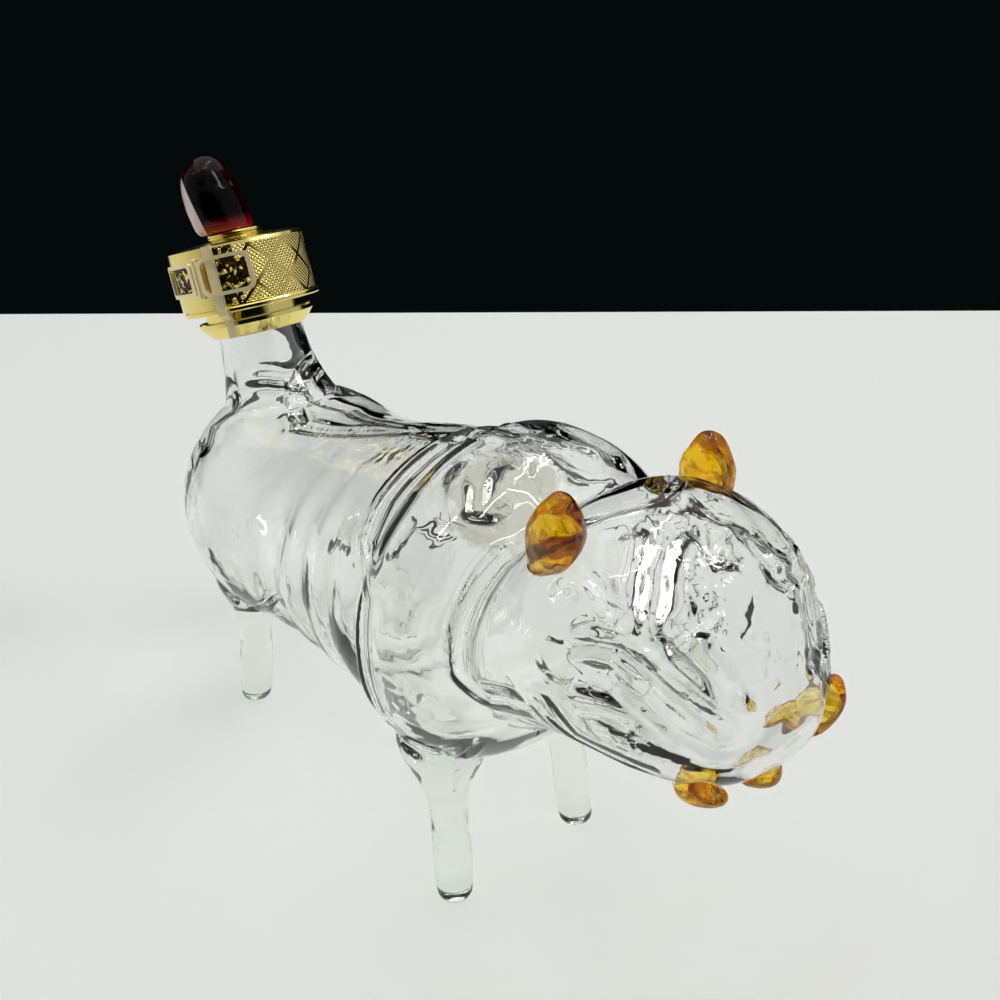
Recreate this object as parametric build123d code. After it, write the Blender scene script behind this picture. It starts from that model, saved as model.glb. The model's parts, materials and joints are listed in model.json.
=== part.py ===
from build123d import *
import math
import os

# Figural liquor decanter: a hollow blown-glass animal with solid glass legs,
# amber glass ears and tusks, a bent-up glass neck at the tail end and a
# gilt screw cap with a garnet glass finial and a buckle-shaped clasp.
# Axes: +X towards the head, +Y towards the animal's left, +Z up.

# Driving sizes, millimetres
body_length = 100.0
frame_shift = 23.849
wall_glass = 2.4

neck_lean = 18.5

# Neck and mouth, measured along the neck's own line
# The base's place along the body and up is in shares of the body's length
neck_radius = 12.5
neck_base_shares = (-1.076, 1.051)
cap_rise_share = 1.6456

# Cap shell: its radii follow the liner, the collar and the neck inside it
cap_height = 19.1
cap_wall = 1.1
cap_top_wall = 1.5
cap_round = 1.3
cap_dome = 0.9
drum_flare = 0.2
bead_reach = 1.0
bead_height = 1.5
boss_radius = 9.2
corner_share = 0.3

# Stud and nut inside the cap's top
stud_radius = 1.5
stud_gap = 0.06
stud_in_finial = 7.0
nut_across = 6.0
nut_height = 1.5
nut_gap = 0.1
stud_below = 0.2

# Liner, seal and their clearances
liner_gap = 0.3
liner_wall = 2.65
liner_low = 0.5
liner_room = 0.6
liner_web = 1.6
thread_gap = 0.35
seal_gap = 0.05
seal_thick = 1.47
seal_rim_gap = 0.35
liner_high = cap_height - cap_top_wall - nut_height - nut_gap - stud_below - liner_room

# The cap's lower rim has its place up the neck, and the mouth stands under the seal
cap_rise = cap_rise_share * neck_radius
mouth_rise = liner_high - liner_web - 2 * seal_gap - seal_thick
neck_length = cap_rise + mouth_rise

# Collar and the cement under it
cement_gap = 0.4
cement_fit = 0.06
cement_low = 6.4
cement_below_mouth = 4.03
collar_wall = 1.6
collar_foot_wall = 1.4
collar_flange_wall = 4.0
collar_below_mouth = 2.43
collar_low = 7.4
collar_flange_low = 3.9
collar_flange_high = 2.4
collar_edge = 0.35
collar_inner_radius = neck_radius + cement_gap
collar_foot_radius = collar_inner_radius + collar_foot_wall
collar_flange_radius = collar_inner_radius + collar_flange_wall
collar_sleeve_radius = collar_inner_radius + collar_wall

# Radii of the cap, outward from the collar's sleeve
liner_inner_radius = collar_sleeve_radius + thread_gap
liner_outer_radius = liner_inner_radius + liner_wall
drum_radius = liner_outer_radius + liner_gap + cap_wall
drum_foot_radius = drum_radius + drum_flare
bead_radius = drum_radius + bead_reach

# Finial and bezel
bezel_radius = 8.1
bezel_low = 0.15
bezel_height = 1.8
bezel_groove = 0.35
bezel_wall = 2.5
bezel_floor = 0.6
finial_length = 10.0
finial_foot_radius = 5.4
finial_gap = 0.3

# Clasp on the cap: angles about the neck's line, and low and high ends in shares of the cap's height
clasp_facing = -24.0
strap_start_angle = -28.5
strap_sweep_angle = 96.0
strap_gap = 0.15
strap_thick = 1.1
strap_end_shares = (0.100, 0.974)
hasp_start_angle = -28.2
hasp_sweep_angle = 7.0
hasp_gap = 0.15
hasp_thick = 1.5
hasp_low = -7.0
hasp_below_top = 0.2
hasp_step_high = -0.5
hasp_step_low = -1.9
hasp_foot_gap = 0.35
buckle_start_angle = -34.0
buckle_sweep_angle = 39.5
buckle_end_shares = (0.272, 0.843)
buckle_gap = 0.15
buckle_thick = 1.0
buckle_bar = 1.0
buckle_corner = 2.4
keeper_start_angle = -80.0
keeper_sweep_angle = 37.0
keeper_end_shares = (0.325, 0.812)
keeper_thick = 0.9
keeper_bar = 1.1
keeper_corner = 1.2
pin_angle = -37.6
pin_radius = 0.95
pin_end_shares = (0.262, 0.853)
pin_gap = 0.1
pin_round = 0.4

# Legs: foot place, top place and radii
leg_foot_radius = 4.9
leg_foot_round = 2.4
leg_shank_radius = 5.2
leg_thigh_radius = 8.6
leg_top_radius = 10.5

# Places along and aside of the body's middle, in shares of its length
front_foot_shares = (0.107, 0.216)
front_top_shares = (0.035, 0.190)
rear_foot_shares = (-0.961, 0.242)
rear_top_shares = (-0.910, 0.205)
leg_top_share = 0.56

# Amber pieces: sizes, and places along, aside and up in shares of the body's length
ear_length = 10.0
ear_place_shares = (0.460, 0.207, 1.140)
tusk_length = 10.0
tusk_place_shares = (0.822, 0.158, 0.848)
nub_length = 10.0
nub_place_shares = (0.800, -0.015, 0.878)
oval_steps = 16

# Rows: place along the body, top, bottom, half width
trunk_shares = [
    (-1.253, 0.765, 0.675, 0.045),
    (-1.242, 0.830, 0.605, 0.120),
    (-1.212, 0.905, 0.532, 0.200),
    (-1.160, 0.968, 0.465, 0.270),
    (-1.090, 1.010, 0.410, 0.325),
    (-1.010, 1.030, 0.375, 0.360),
    (-0.920, 1.032, 0.358, 0.380),
    (-0.83, 1.026, 0.356, 0.384),
    (-0.74, 1.028, 0.368, 0.377),
    (-0.65, 1.044, 0.384, 0.365),
    (-0.57, 1.067, 0.395, 0.358),
    (-0.50, 1.090, 0.408, 0.345),
    (-0.43, 1.112, 0.404, 0.356),
    (-0.36, 1.136, 0.420, 0.344),
    (-0.29, 1.160, 0.409, 0.358),
    (-0.22, 1.184, 0.424, 0.350),
    (-0.15, 1.208, 0.412, 0.362),
    (-0.08, 1.228, 0.416, 0.361),
    (-0.03, 1.240, 0.420, 0.366),
    (0.015, 1.282, 0.400, 0.402),
    (0.075, 1.298, 0.418, 0.411),
    (0.14, 1.300, 0.448, 0.407),
    (0.21, 1.286, 0.500, 0.388),
    (0.28, 1.252, 0.590, 0.356),
    (0.335, 1.240, 0.672, 0.330),
    (0.39, 1.288, 0.716, 0.329),
    (0.46, 1.325, 0.750, 0.329),
    (0.54, 1.338, 0.777, 0.320),
    (0.62, 1.324, 0.798, 0.306),
    (0.70, 1.280, 0.809, 0.281),
    (0.77, 1.208, 0.823, 0.243),
    (0.825, 1.128, 0.850, 0.196),
    (0.865, 1.060, 0.884, 0.144),
    (0.89, 1.006, 0.920, 0.086),
    (0.90, 0.972, 0.952, 0.030),
]

# The hollow's own rounded ends, which stand in for this many rows of the skin at each end
solid_tip_rows = 2
hollow_rump_shares = [
    (-1.231, 0.745, 0.691, 0.035),
    (-1.228, 0.787, 0.649, 0.085),
    (-1.221, 0.832, 0.604, 0.135),
]
hollow_nose_shares = [
    (0.873, 1.012, 0.924, 0.088),
    (0.879, 0.991, 0.943, 0.052),
    (0.882, 0.977, 0.957, 0.022),
]

# Rows in shares of the neck's radius: rise up its line, reach to the front, to the back, half width
neck_shares = [
    (2.080, 1.000, 1.000, 1.000),
    (1.560, 1.000, 1.000, 1.000),
    (1.040, 1.000, 1.000, 1.000),
    (0.560, 1.040, 1.016, 1.032),
    (0.120, 1.144, 1.040, 1.112),
    (-0.320, 1.328, 1.080, 1.240),
    (-0.760, 1.592, 1.136, 1.424),
    (-1.200, 1.920, 1.200, 1.640),
    (-1.680, 2.320, 1.264, 1.880),
]

# Rows: height, offset aside, half width, half depth of the finial
finial_shares = [
    (0.0, -0.12, 0.72, 0.68),
    (0.14, -0.22, 0.80, 0.76),
    (0.28, -0.30, 0.88, 0.83),
    (0.46, -0.33, 0.92, 0.87),
    (0.70, -0.36, 0.94, 0.88),
    (1.00, -0.41, 0.94, 0.88),
    (1.34, -0.46, 0.90, 0.85),
    (1.68, -0.50, 0.81, 0.77),
    (1.94, -0.49, 0.70, 0.67),
    (2.12, -0.46, 0.56, 0.53),
    (2.24, -0.44, 0.40, 0.38),
    (2.30, -0.44, 0.24, 0.23),
    (2.325, -0.44, 0.10, 0.10),
]

# Rows: height, forward lean, outward lean, half width along, half depth
ear_shares = [
    (0.0, -0.10, -0.10, 0.74, 0.46),
    (0.50, -0.04, 0.02, 0.78, 0.50),
    (1.00, -0.02, 0.10, 0.74, 0.46),
    (1.50, 0.00, 0.12, 0.63, 0.38),
    (1.95, 0.02, 0.08, 0.46, 0.28),
    (2.26, 0.05, 0.03, 0.28, 0.18),
    (2.38, 0.06, 0.02, 0.15, 0.10),
    (2.42, 0.06, 0.02, 0.06, 0.04),
]
tusk_left_shares = [
    (0.0, -0.30, -0.30, 0.42, 0.34),
    (0.35, -0.05, 0.00, 0.46, 0.36),
    (0.70, 0.10, 0.20, 0.44, 0.34),
    (1.05, 0.18, 0.34, 0.34, 0.27),
    (1.30, 0.20, 0.41, 0.20, 0.16),
    (1.40, 0.20, 0.43, 0.11, 0.09),
    (1.43, 0.20, 0.43, 0.05, 0.04),
]
tusk_right_shares = [
    (0.0, -0.45, -0.25, 0.40, 0.32),
    (0.30, -0.15, -0.02, 0.42, 0.34),
    (0.55, 0.12, 0.14, 0.42, 0.34),
    (0.75, 0.35, 0.20, 0.37, 0.29),
    (0.90, 0.50, 0.23, 0.26, 0.21),
    (0.97, 0.56, 0.24, 0.15, 0.12),
    (1.00, 0.58, 0.24, 0.06, 0.05),
]
nub_shares = [
    (0.0, 0.0, 0.0, 0.46, 0.30),
    (0.35, 0.02, 0.0, 0.52, 0.34),
    (0.62, 0.0, 0.0, 0.44, 0.29),
    (0.78, -0.02, 0.0, 0.28, 0.19),
    (0.86, -0.03, 0.0, 0.15, 0.10),
    (0.885, -0.03, 0.0, 0.06, 0.04),
]


def polar(angle, reach):
    rad = math.radians(angle)
    return reach * math.cos(rad), reach * math.sin(rad)


def neck_line():
    rad = math.radians(neck_lean)
    return Vector(-math.sin(rad), 0, math.cos(rad))


def neck_point(rise):
    along, high = neck_base_shares
    start = Vector(along * body_length, 0, high * body_length)
    return start + neck_line() * rise


def cap_plane(rise):
    rad = math.radians(neck_lean)
    ahead = (math.cos(rad), 0, math.sin(rad))
    up = neck_line()
    return Plane(origin=neck_point(cap_rise + rise), x_dir=ahead, z_dir=(up.X, up.Y, up.Z))


# A closed smooth oval that always starts at the same side
def oval_in(plane, half_width, half_height):
    points = []
    for step in range(oval_steps):
        turn = 2 * math.pi * step / oval_steps
        spot = Vector(half_width * math.cos(turn), half_height * math.sin(turn), 0)
        points.append(plane.from_local_coords(spot))
    marks = [step / oval_steps for step in range(oval_steps + 1)]
    edge = Edge.make_spline(points, periodic=True, parameters=marks)
    return Wire([edge])


def oval(origin, normal, half_width, half_height):
    plane = Plane(origin=origin, x_dir=(0, 1, 0), z_dir=normal)
    return oval_in(plane, half_width, half_height)


# Upright oval sections for the rows of a table
def upright(rows, inset):
    faces = []
    for along, high, low, half in rows:
        mid = (high + low) / 2 * body_length
        tall = (high - low) / 2 * body_length - inset
        spot = (along * body_length, 0, mid)
        faces.append(oval(spot, (1, 0, 0), half * body_length - inset, tall))
    return faces


# The trunk as one loft of parallel ovals, rump to snout
def trunk(inset):
    if inset:
        middle = upright(trunk_shares[solid_tip_rows:-solid_tip_rows], inset)
        return Solid.make_loft(upright(hollow_rump_shares, 0) + middle + upright(hollow_nose_shares, 0))
    return Solid.make_loft(upright(trunk_shares, inset))


# The neck as one loft of ovals that flare into the back
def neck(inset):
    up = neck_line()
    mouth = Plane(origin=neck_point(neck_length + inset), x_dir=(0, 1, 0), z_dir=(-up.X, -up.Y, -up.Z))
    wires = [oval_in(mouth, neck_radius - inset, neck_radius - inset)]
    for rise, front, back, half in neck_shares:
        high = rise * neck_radius
        shift = cap_plane(0).x_dir * ((front - back) / 2 * neck_radius)
        spot = neck_point(high) + shift
        plane = Plane(origin=spot, x_dir=(0, 1, 0), z_dir=(-up.X, -up.Y, -up.Z))
        reach = (front + back) / 2 * neck_radius - inset
        wires.append(oval_in(plane, half * neck_radius - inset, reach))
    return Solid.make_loft(wires)


def bulb(inset):
    return trunk(inset) + neck(inset)


def glass_body(outer):
    return outer - bulb(wall_glass)


def round_loft(rows, place, side, unit):
    faces = []
    for rise, ahead, out, half_x, half_y in rows:
        origin = place + Vector(ahead * unit, side * out * unit, rise * unit)
        plane = Plane(origin=origin, x_dir=(1, 0, 0), z_dir=(0, 0, 1))
        faces.append(oval_in(plane, half_x * unit, half_y * unit))
    return Solid.make_loft(faces)


def leg(foot, top):
    line = top - foot
    height = line.Z
    faces = []
    for share, radius in leg_rows():
        spot = foot + line * share
        faces.append(Plane(origin=spot, z_dir=(0, 0, 1)) * Circle(radius))
    solid = loft(faces)
    base = solid.faces().sort_by(Axis.Z)[0]
    return fillet(base.edges(), leg_foot_round)


# Rows: share of the leg's line, radius
def leg_rows():
    return [
        (0.0, leg_foot_radius),
        (0.08, leg_foot_radius),
        (0.30, leg_shank_radius),
        (0.55, leg_shank_radius),
        (0.74, leg_thigh_radius),
        (1.0, leg_top_radius),
    ]


def ring_profile(plane, points):
    sketch_plane = Plane(origin=plane.origin, x_dir=plane.x_dir, z_dir=plane.y_dir * -1)
    line = Polyline(*[(r, h) for r, h in points], close=True)
    return sketch_plane * make_face(line)


def turned(points, sweep=360.0, start=0.0):
    plane = cap_plane(0)
    face = ring_profile(plane, points)
    axis = Axis(plane.origin, plane.z_dir)
    solid = revolve(face, axis=axis, revolution_arc=sweep)
    if start:
        solid = solid.rotate(axis, start)
    return solid


def neck_collar():
    inner = collar_inner_radius
    high = mouth_rise - collar_below_mouth
    points = [
        (inner, -collar_low),
        (collar_foot_radius - collar_edge, -collar_low),
        (collar_foot_radius, -collar_low + collar_edge),
        (collar_flange_radius, -collar_flange_low),
        (collar_flange_radius, -collar_flange_high - collar_edge),
        (collar_flange_radius - collar_edge, -collar_flange_high),
        (collar_sleeve_radius, -collar_flange_high),
        (collar_sleeve_radius, high - collar_edge),
        (collar_sleeve_radius - collar_edge, high),
        (inner, high),
    ]
    return turned(points)


def collar_cement():
    inner = neck_radius + cement_fit
    outer = collar_inner_radius
    high = mouth_rise - cement_below_mouth
    return turned([(inner, -cement_low), (outer, -cement_low), (outer, high), (inner, high)])


def cap_shell():
    inner = drum_radius - cap_wall
    top = cap_height
    points = [
        (inner, 0),
        (bead_radius - collar_edge, 0),
        (bead_radius, collar_edge),
        (bead_radius, bead_height - collar_edge),
        (bead_radius - collar_edge, bead_height),
        (drum_foot_radius, bead_height),
        (drum_radius, top - cap_round),
        (drum_radius - cap_round * corner_share, top - cap_round * corner_share),
        (drum_radius - cap_round, top),
        (boss_radius, top + cap_dome),
        (stud_radius + stud_gap, top + cap_dome),
        (stud_radius + stud_gap, top - cap_top_wall),
        (inner, top - cap_top_wall),
    ]
    return turned(points)



def cap_liner():
    outer = liner_outer_radius
    inner = liner_inner_radius
    return turned([
        (inner, liner_low),
        (outer, liner_low),
        (outer, liner_high),
        (0, liner_high),
        (0, liner_high - liner_web),
        (inner, liner_high - liner_web),
    ])


def cap_seal():
    low = mouth_rise + seal_gap
    high = low + seal_thick
    rim = collar_sleeve_radius - seal_rim_gap
    return turned([(0, low), (rim, low), (rim, high), (0, high)])


def finial_bezel():
    low = cap_height + cap_dome
    top = low + bezel_height
    mid = low + bezel_height / 2
    points = [
        (stud_radius + stud_gap, low),
        (bezel_radius - bezel_groove, low),
        (bezel_radius, low + bezel_groove),
        (bezel_radius, mid - bezel_groove / 2),
        (bezel_radius - bezel_groove, mid),
        (bezel_radius, mid + bezel_groove / 2),
        (bezel_radius, top - bezel_groove),
        (bezel_radius - bezel_groove, top),
        (bezel_radius - bezel_wall, top),
        (bezel_radius - bezel_wall, low + bezel_floor),
        (stud_radius + stud_gap, low + bezel_floor),
    ]
    return turned(points)


def finial_seat():
    return cap_height + cap_dome + bezel_floor + seal_gap


def finial_solid():
    base = finial_seat()
    facing = clasp_facing + 90
    faces = []
    for rise, aside, half_w, half_d in finial_shares:
        plane = cap_plane(base + rise * finial_length)
        out = plane.x_dir.rotate(Axis((0, 0, 0), plane.z_dir), facing)
        moved = Plane(origin=plane.origin + out * aside * finial_length, x_dir=out, z_dir=plane.z_dir)
        faces.append(oval_in(moved, half_w * finial_length, half_d * finial_length))
    clear = cap_height + cap_dome + bezel_height + finial_gap
    below = turned([(0, 0), (drum_radius, 0), (drum_radius, clear), (0, clear)])
    foot = turned([(0, base), (finial_foot_radius, base),
                   (finial_foot_radius, clear + finial_gap), (0, clear + finial_gap)])
    hole = turned([(0, 0), (stud_radius + stud_gap, 0),
                   (stud_radius + stud_gap, base + stud_in_finial + stud_gap),
                   (0, base + stud_in_finial + stud_gap)])
    return Solid.make_loft(faces) - below + foot - hole


def finial_stud():
    low = cap_height - cap_top_wall - nut_height - nut_gap - stud_below
    high = finial_seat() + stud_in_finial
    return turned([(0, low), (stud_radius, low), (stud_radius, high), (0, high)])


def stud_nut():
    low = cap_height - cap_top_wall - nut_height - nut_gap / 2
    plane = cap_plane(low)
    sketch = plane * RegularPolygon(nut_across / 2, 6, major_radius=False)
    solid = extrude(sketch, amount=nut_height)
    hole = plane * Cylinder(stud_radius + stud_gap, nut_height,
                            align=(Align.CENTER, Align.CENTER, Align.MIN))
    return solid - hole


# Low and high ends of a piece on the drum
def ends(shares):
    low, high = shares
    return low * cap_height, high * cap_height


def strap_plate():
    inner = drum_foot_radius + strap_gap
    outer = inner + strap_thick
    low, high = ends(strap_end_shares)
    points = [(inner, low), (outer, low), (outer, high), (inner, high)]
    return turned(points, strap_sweep_angle, clasp_facing + strap_start_angle - strap_sweep_angle)


def hasp_strip():
    inner = bead_radius + hasp_gap
    outer = inner + hasp_thick
    foot = collar_flange_radius + hasp_foot_gap
    foot_outer = foot + hasp_thick
    high = cap_height - hasp_below_top
    points = [
        (inner, high),
        (inner, hasp_step_high),
        (foot, hasp_step_low),
        (foot, hasp_low),
        (foot_outer, hasp_low),
        (foot_outer, hasp_step_low),
        (outer, hasp_step_high),
        (outer, high),
    ]
    return turned(points, hasp_sweep_angle, clasp_facing + hasp_start_angle)


# A frame bent round the drum: a thick ring cut by a rounded window
def bent_frame(start, sweep, low, high, inner, thick, bar, corner):
    outer = inner + thick
    ring = turned([(inner, low), (outer, low), (outer, high), (inner, high)])
    facing = clasp_facing + start + sweep / 2
    plane = cap_plane((low + high) / 2)
    up = plane.z_dir
    out = plane.x_dir.rotate(Axis((0, 0, 0), up), facing)
    side = out.cross(up) * -1
    view = Plane(origin=plane.origin, x_dir=side, z_dir=out)
    width = 2 * outer * math.sin(math.radians(sweep / 2))
    tall = high - low
    block = extrude(view * RectangleRounded(width, tall, corner), amount=outer + thick)
    window = extrude(view * RectangleRounded(width - 2 * bar, tall - 2 * bar, corner - bar / 2),
                     amount=outer + thick)
    return (ring & block) - window


def buckle_frame():
    inner = bead_radius + hasp_gap + hasp_thick + buckle_gap
    low, high = ends(buckle_end_shares)
    return bent_frame(buckle_start_angle, buckle_sweep_angle, low, high,
                      inner, buckle_thick, buckle_bar, buckle_corner)


def keeper_frame():
    inner = drum_foot_radius + strap_gap + strap_thick + buckle_gap
    low, high = ends(keeper_end_shares)
    return bent_frame(keeper_start_angle, keeper_sweep_angle, low, high,
                      inner, keeper_thick, keeper_bar, keeper_corner)


def buckle_pin():
    reach = drum_foot_radius + strap_gap + strap_thick + pin_gap + pin_radius
    low, high = ends(pin_end_shares)
    plane = cap_plane(low)
    off = polar(clasp_facing + pin_angle, reach)
    solid = plane * Pos(off[0], off[1], 0) * Cylinder(pin_radius, high - low,
                                                     align=(Align.CENTER, Align.CENTER, Align.MIN))
    return fillet(solid.edges().filter_by(GeomType.CIRCLE), pin_round)


# A place on the body, with side +1 for the animal's left and -1 for its right
def body_place(shares, side):
    along, aside, high = shares
    return Vector(along * body_length, side * aside * body_length, high * body_length)


def lip_nub():
    place = body_place(nub_place_shares, 1)
    faces = []
    for rise, ahead, out, half_x, half_y in nub_shares:
        origin = place + Vector(rise * nub_length, 0, ahead * nub_length)
        plane = Plane(origin=origin, x_dir=(0, 1, 0), z_dir=(1, 0, 0))
        faces.append(oval_in(plane, half_x * nub_length, half_y * nub_length))
    return Solid.make_loft(faces)


def one(shape):
    solids = shape.solids()
    return max(solids, key=lambda s: s.volume)


def build():
    outer = bulb(0)
    pieces = {"glass_body": glass_body(outer)}
    for name, side, tusk_shares in (("left", 1, tusk_left_shares), ("right", -1, tusk_right_shares)):
        front = leg(body_place((*front_foot_shares, 0), side),
                    body_place((*front_top_shares, leg_top_share), side))
        rear = leg(body_place((*rear_foot_shares, 0), side),
                   body_place((*rear_top_shares, leg_top_share), side))
        ear = round_loft(ear_shares, body_place(ear_place_shares, side), side, ear_length)
        tusk = round_loft(tusk_shares, body_place(tusk_place_shares, side), side, tusk_length)
        pieces["leg_front_" + name] = front - outer
        pieces["leg_rear_" + name] = rear - outer
        pieces["ear_" + name] = ear - outer
        pieces["tusk_" + name] = tusk - outer
    pieces["lip_nub"] = lip_nub() - outer
    pieces["neck_collar"] = neck_collar()
    pieces["collar_cement"] = collar_cement()
    pieces["cap_shell"] = cap_shell()
    pieces["cap_liner"] = cap_liner()
    pieces["cap_seal"] = cap_seal()
    pieces["finial_bezel"] = finial_bezel()
    pieces["finial"] = finial_solid()
    pieces["finial_stud"] = finial_stud()
    pieces["stud_nut"] = stud_nut()
    pieces["strap_plate"] = strap_plate()
    pieces["hasp_strip"] = hasp_strip()
    pieces["buckle_frame"] = buckle_frame()
    pieces["keeper_frame"] = keeper_frame()
    pieces["buckle_pin"] = buckle_pin()
    return pieces


os.makedirs("parts", exist_ok=True)
for node, shape in build().items():
    solid = Pos(frame_shift, 0, 0) * one(shape)
    export_step(solid, "parts/" + node + ".step")
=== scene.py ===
import json
import math
from functools import partial

import bmesh
import bpy
import numpy as np
from mathutils import Matrix, Vector, noise
from mathutils.bvhtree import BVHTree


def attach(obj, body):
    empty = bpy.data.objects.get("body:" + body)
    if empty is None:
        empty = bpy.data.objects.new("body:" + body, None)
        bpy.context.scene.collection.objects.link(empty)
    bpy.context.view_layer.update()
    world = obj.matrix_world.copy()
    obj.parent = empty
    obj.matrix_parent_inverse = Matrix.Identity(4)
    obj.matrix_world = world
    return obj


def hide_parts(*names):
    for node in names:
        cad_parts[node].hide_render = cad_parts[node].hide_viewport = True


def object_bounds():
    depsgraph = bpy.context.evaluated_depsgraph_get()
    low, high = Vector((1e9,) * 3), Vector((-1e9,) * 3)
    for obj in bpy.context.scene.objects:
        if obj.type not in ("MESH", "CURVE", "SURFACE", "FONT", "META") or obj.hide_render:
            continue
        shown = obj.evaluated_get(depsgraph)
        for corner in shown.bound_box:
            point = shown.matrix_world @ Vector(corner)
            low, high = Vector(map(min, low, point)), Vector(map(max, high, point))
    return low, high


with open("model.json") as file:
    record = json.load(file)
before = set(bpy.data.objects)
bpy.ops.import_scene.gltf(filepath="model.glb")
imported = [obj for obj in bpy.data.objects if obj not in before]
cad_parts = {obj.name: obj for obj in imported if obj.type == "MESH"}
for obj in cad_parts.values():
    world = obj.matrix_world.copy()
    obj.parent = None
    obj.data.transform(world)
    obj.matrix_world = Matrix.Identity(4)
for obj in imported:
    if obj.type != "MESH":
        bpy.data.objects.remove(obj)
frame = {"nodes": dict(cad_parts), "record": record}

cad_low, cad_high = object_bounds()

# Sizes are in millimetres and turned into metres by MM
MM = 0.001

# Camera: place, looking angles in degrees, lens, and the nearest and farthest that it sees
CAMERA_PLACE = (199.86, -137.79, 237.60)
CAMERA_AZIMUTH = 51.43
CAMERA_DOWN = 29.99
CAMERA_ROLL = -0.2
CAMERA_LENS = 39.563
CAMERA_NEAR = 10.0
CAMERA_FAR = 20000.0

# Table: how far its far edge stands behind the decanter, seen from the camera, its size, and its
# colour, roughness, share of metal, scale and height of the grain, and mirror
TABLE_BEHIND = 400.0
TABLE_SIZE = 4000.0
TABLE_LOOK = ((0.80, 0.81, 0.785, 1), 0.75, 0.0, 40.0, 0.02, 0.15)

# Room: dark behind the camera and black ahead of it. Each side starts and fades at shares of the way ahead.
ROOM_COLOUR = (0.45, 0.455, 0.45, 1)
DARK_SIDE_START = -0.62
DARK_SIDE_FADE = 0.20
BACKDROP_COLOUR = (0.0015, 0.0030, 0.0030, 1)
BACKDROP_START = 0.50
BACKDROP_FADE = 0.15

# Lamps: what they face, and for each its name, place, width, height and power in watts
LAMP_TARGET = (0, 0, 60)
LAMPS = [
    ("ceiling", (-700, 600, 2200), 4000, 4000, 38),
    ("left_lamp", (-420, -700, 900), 40, 300, 0.5),
    ("tube_lamp", (200, 160, 1500), 30, 600, 1.5),
    ("tube_lamp_left", (0, -380, 1500), 30, 600, 1.5),
    ("tube_lamp_far", (-300, 500, 1400), 40, 700, 2.0),
    ("side_lamp", (820, 960, 1650), 360, 360, 4.0),
]

# Fused glass: points of a mesh this near are one, how strong a round of smoothing is, and the voxel and
# rounds of smoothing, first of the body and then of small pieces
WELD = 0.002
SMOOTH_FACTOR = 0.5
GLASS_VOXEL = 0.62
GLASS_PASSES = 7
SMALL_VOXEL = 0.28
SMALL_PASSES = 4

# Ears: how far they bulge towards the head's middle, and how high up and over what span as shares of
# their height. How narrow the foot is and where it ends, over what width the bulge grows, and their
# unevenness as a wave's length, height and seed.
EAR_BULGE = 2.6
EAR_BULGE_RISE = 0.60
EAR_BULGE_SPAN = 0.46
EAR_FOOT = 0.66
EAR_FOOT_RISE = 0.55
EAR_INNER = 3.0
EAR_WAVE = (4.0, 0.40, 5.0)

# Unevenness of the blown glass: lengths and heights of waves in millimetres, and the seed of the noise.
# A seed shifts the noise by these steps, and the waves die out below a height over the table.
WAVE = (19.0, 0.34, 3.0)
RIPPLE = (7.5, 0.10, 8.0)
SEED_STEPS = (1.0, 2.7, 5.1)
CALM_HEIGHT = 6.0

# Engraving of the cap's drum: heights are counted from the mouth of the neck. In a diamond, the weaker
# lines have a share of the others' height. The diamonds' edges are plain, over a share of their pitch.
DRUM_RADIUS = 18.9
HATCH_LOW = -10.2
HATCH_HIGH = 5.8
HATCH_PITCH = 1.30
HATCH_DEPTH = 0.09
HATCH_CROSS = 0.70
DIAMOND_PITCH = 10.6
DIAMOND_EDGE_SHARE = 0.055

# Painted shade in the engraved grooves: its colour, how much of it shows, and how fast it fades as the lines
# rise.
# Twice as much of it shows at the first of two places, in degrees round the drum, as at the second.
GROOVE_SHADE_COLOUR = (0.30, 0.20, 0.035, 1)
GROOVE_SHADE_SHARE = 0.42
GROOVE_SHADE_SLOPE = 0.55
GROOVE_SHADE_PLACES = (-26, 8)

# Chased grounds under the clasp, darkened by painted shadow and reflection of the frames: from and to, in
# degrees round the drum, and low and high from the mouth. Then the scale of their noise, the noise below
# which the painted shadow shows, the depth of their relief on the strap, and how much higher it is than the
# hatching on the drum.
BUCKLE_SHADOW_GROUND = (-56, -21, -6.0, 3.2)
STRAP_SHADOW_GROUND = (-62, -30, -9.6, 6.2)
KEEPER_SHADOW_GROUND = (-101, -70, -4.8, 2.5)
SHADOW_GROUND_SCALE = 620.0
SHADOW_FLECK_SHARE = 0.56
GROUND_DEPTH = 0.8
GROUND_RISE = 16.0

# How far inside the frame's box the glass stays
BOX_INSET = 0.02

# How far a leg's top sinks into the wall that it is melted to, and how near the wall its top is
LEG_MELT = 1.3
LEG_TOUCH = 0.15

# The photograph's side in pixels, and the camera's sensor
PHOTO_SIDE = 1000
SENSOR = 36.0

# Creases, as points of the photograph on the animal's right side
MOUTH_POINTS = [(566, 644), (590, 646), (620, 652), (650, 672), (680, 696), (706, 716), (736, 735)]
FOLD_POINTS = [(533, 541), (505, 562), (480, 596), (465, 638), (467, 678), (483, 696), (520, 700)]
BROW_POINTS = [(590, 545), (640, 560), (672, 590), (690, 622)]
RIDGE_POINTS = [(520, 432), (467, 432), (420, 460), (385, 498), (368, 540), (361, 600), (361, 660),
                (380, 715)]
CHIN_POINTS = [(540, 700), (575, 738), (620, 762), (660, 776)]
FRONT_JOIN_POINTS = [(400, 738), (418, 754), (440, 760), (462, 756), (478, 742)]
REAR_JOIN_POINTS = [(228, 590), (240, 604), (256, 608), (270, 604), (278, 594)]
LIP_POINTS = [(600, 668), (640, 700), (680, 735), (715, 752), (742, 748)]
CHEEK_POINTS = [(572, 560), (600, 585), (618, 620), (612, 645)]
SNOUT_POINTS = [(690, 560), (700, 590), (706, 622), (690, 640)]
NOSE_POINTS = [(725, 600), (700, 622), (672, 640), (640, 650)]
DIMPLE_POINTS = [(566, 700), (600, 706), (640, 722), (668, 740)]

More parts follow.
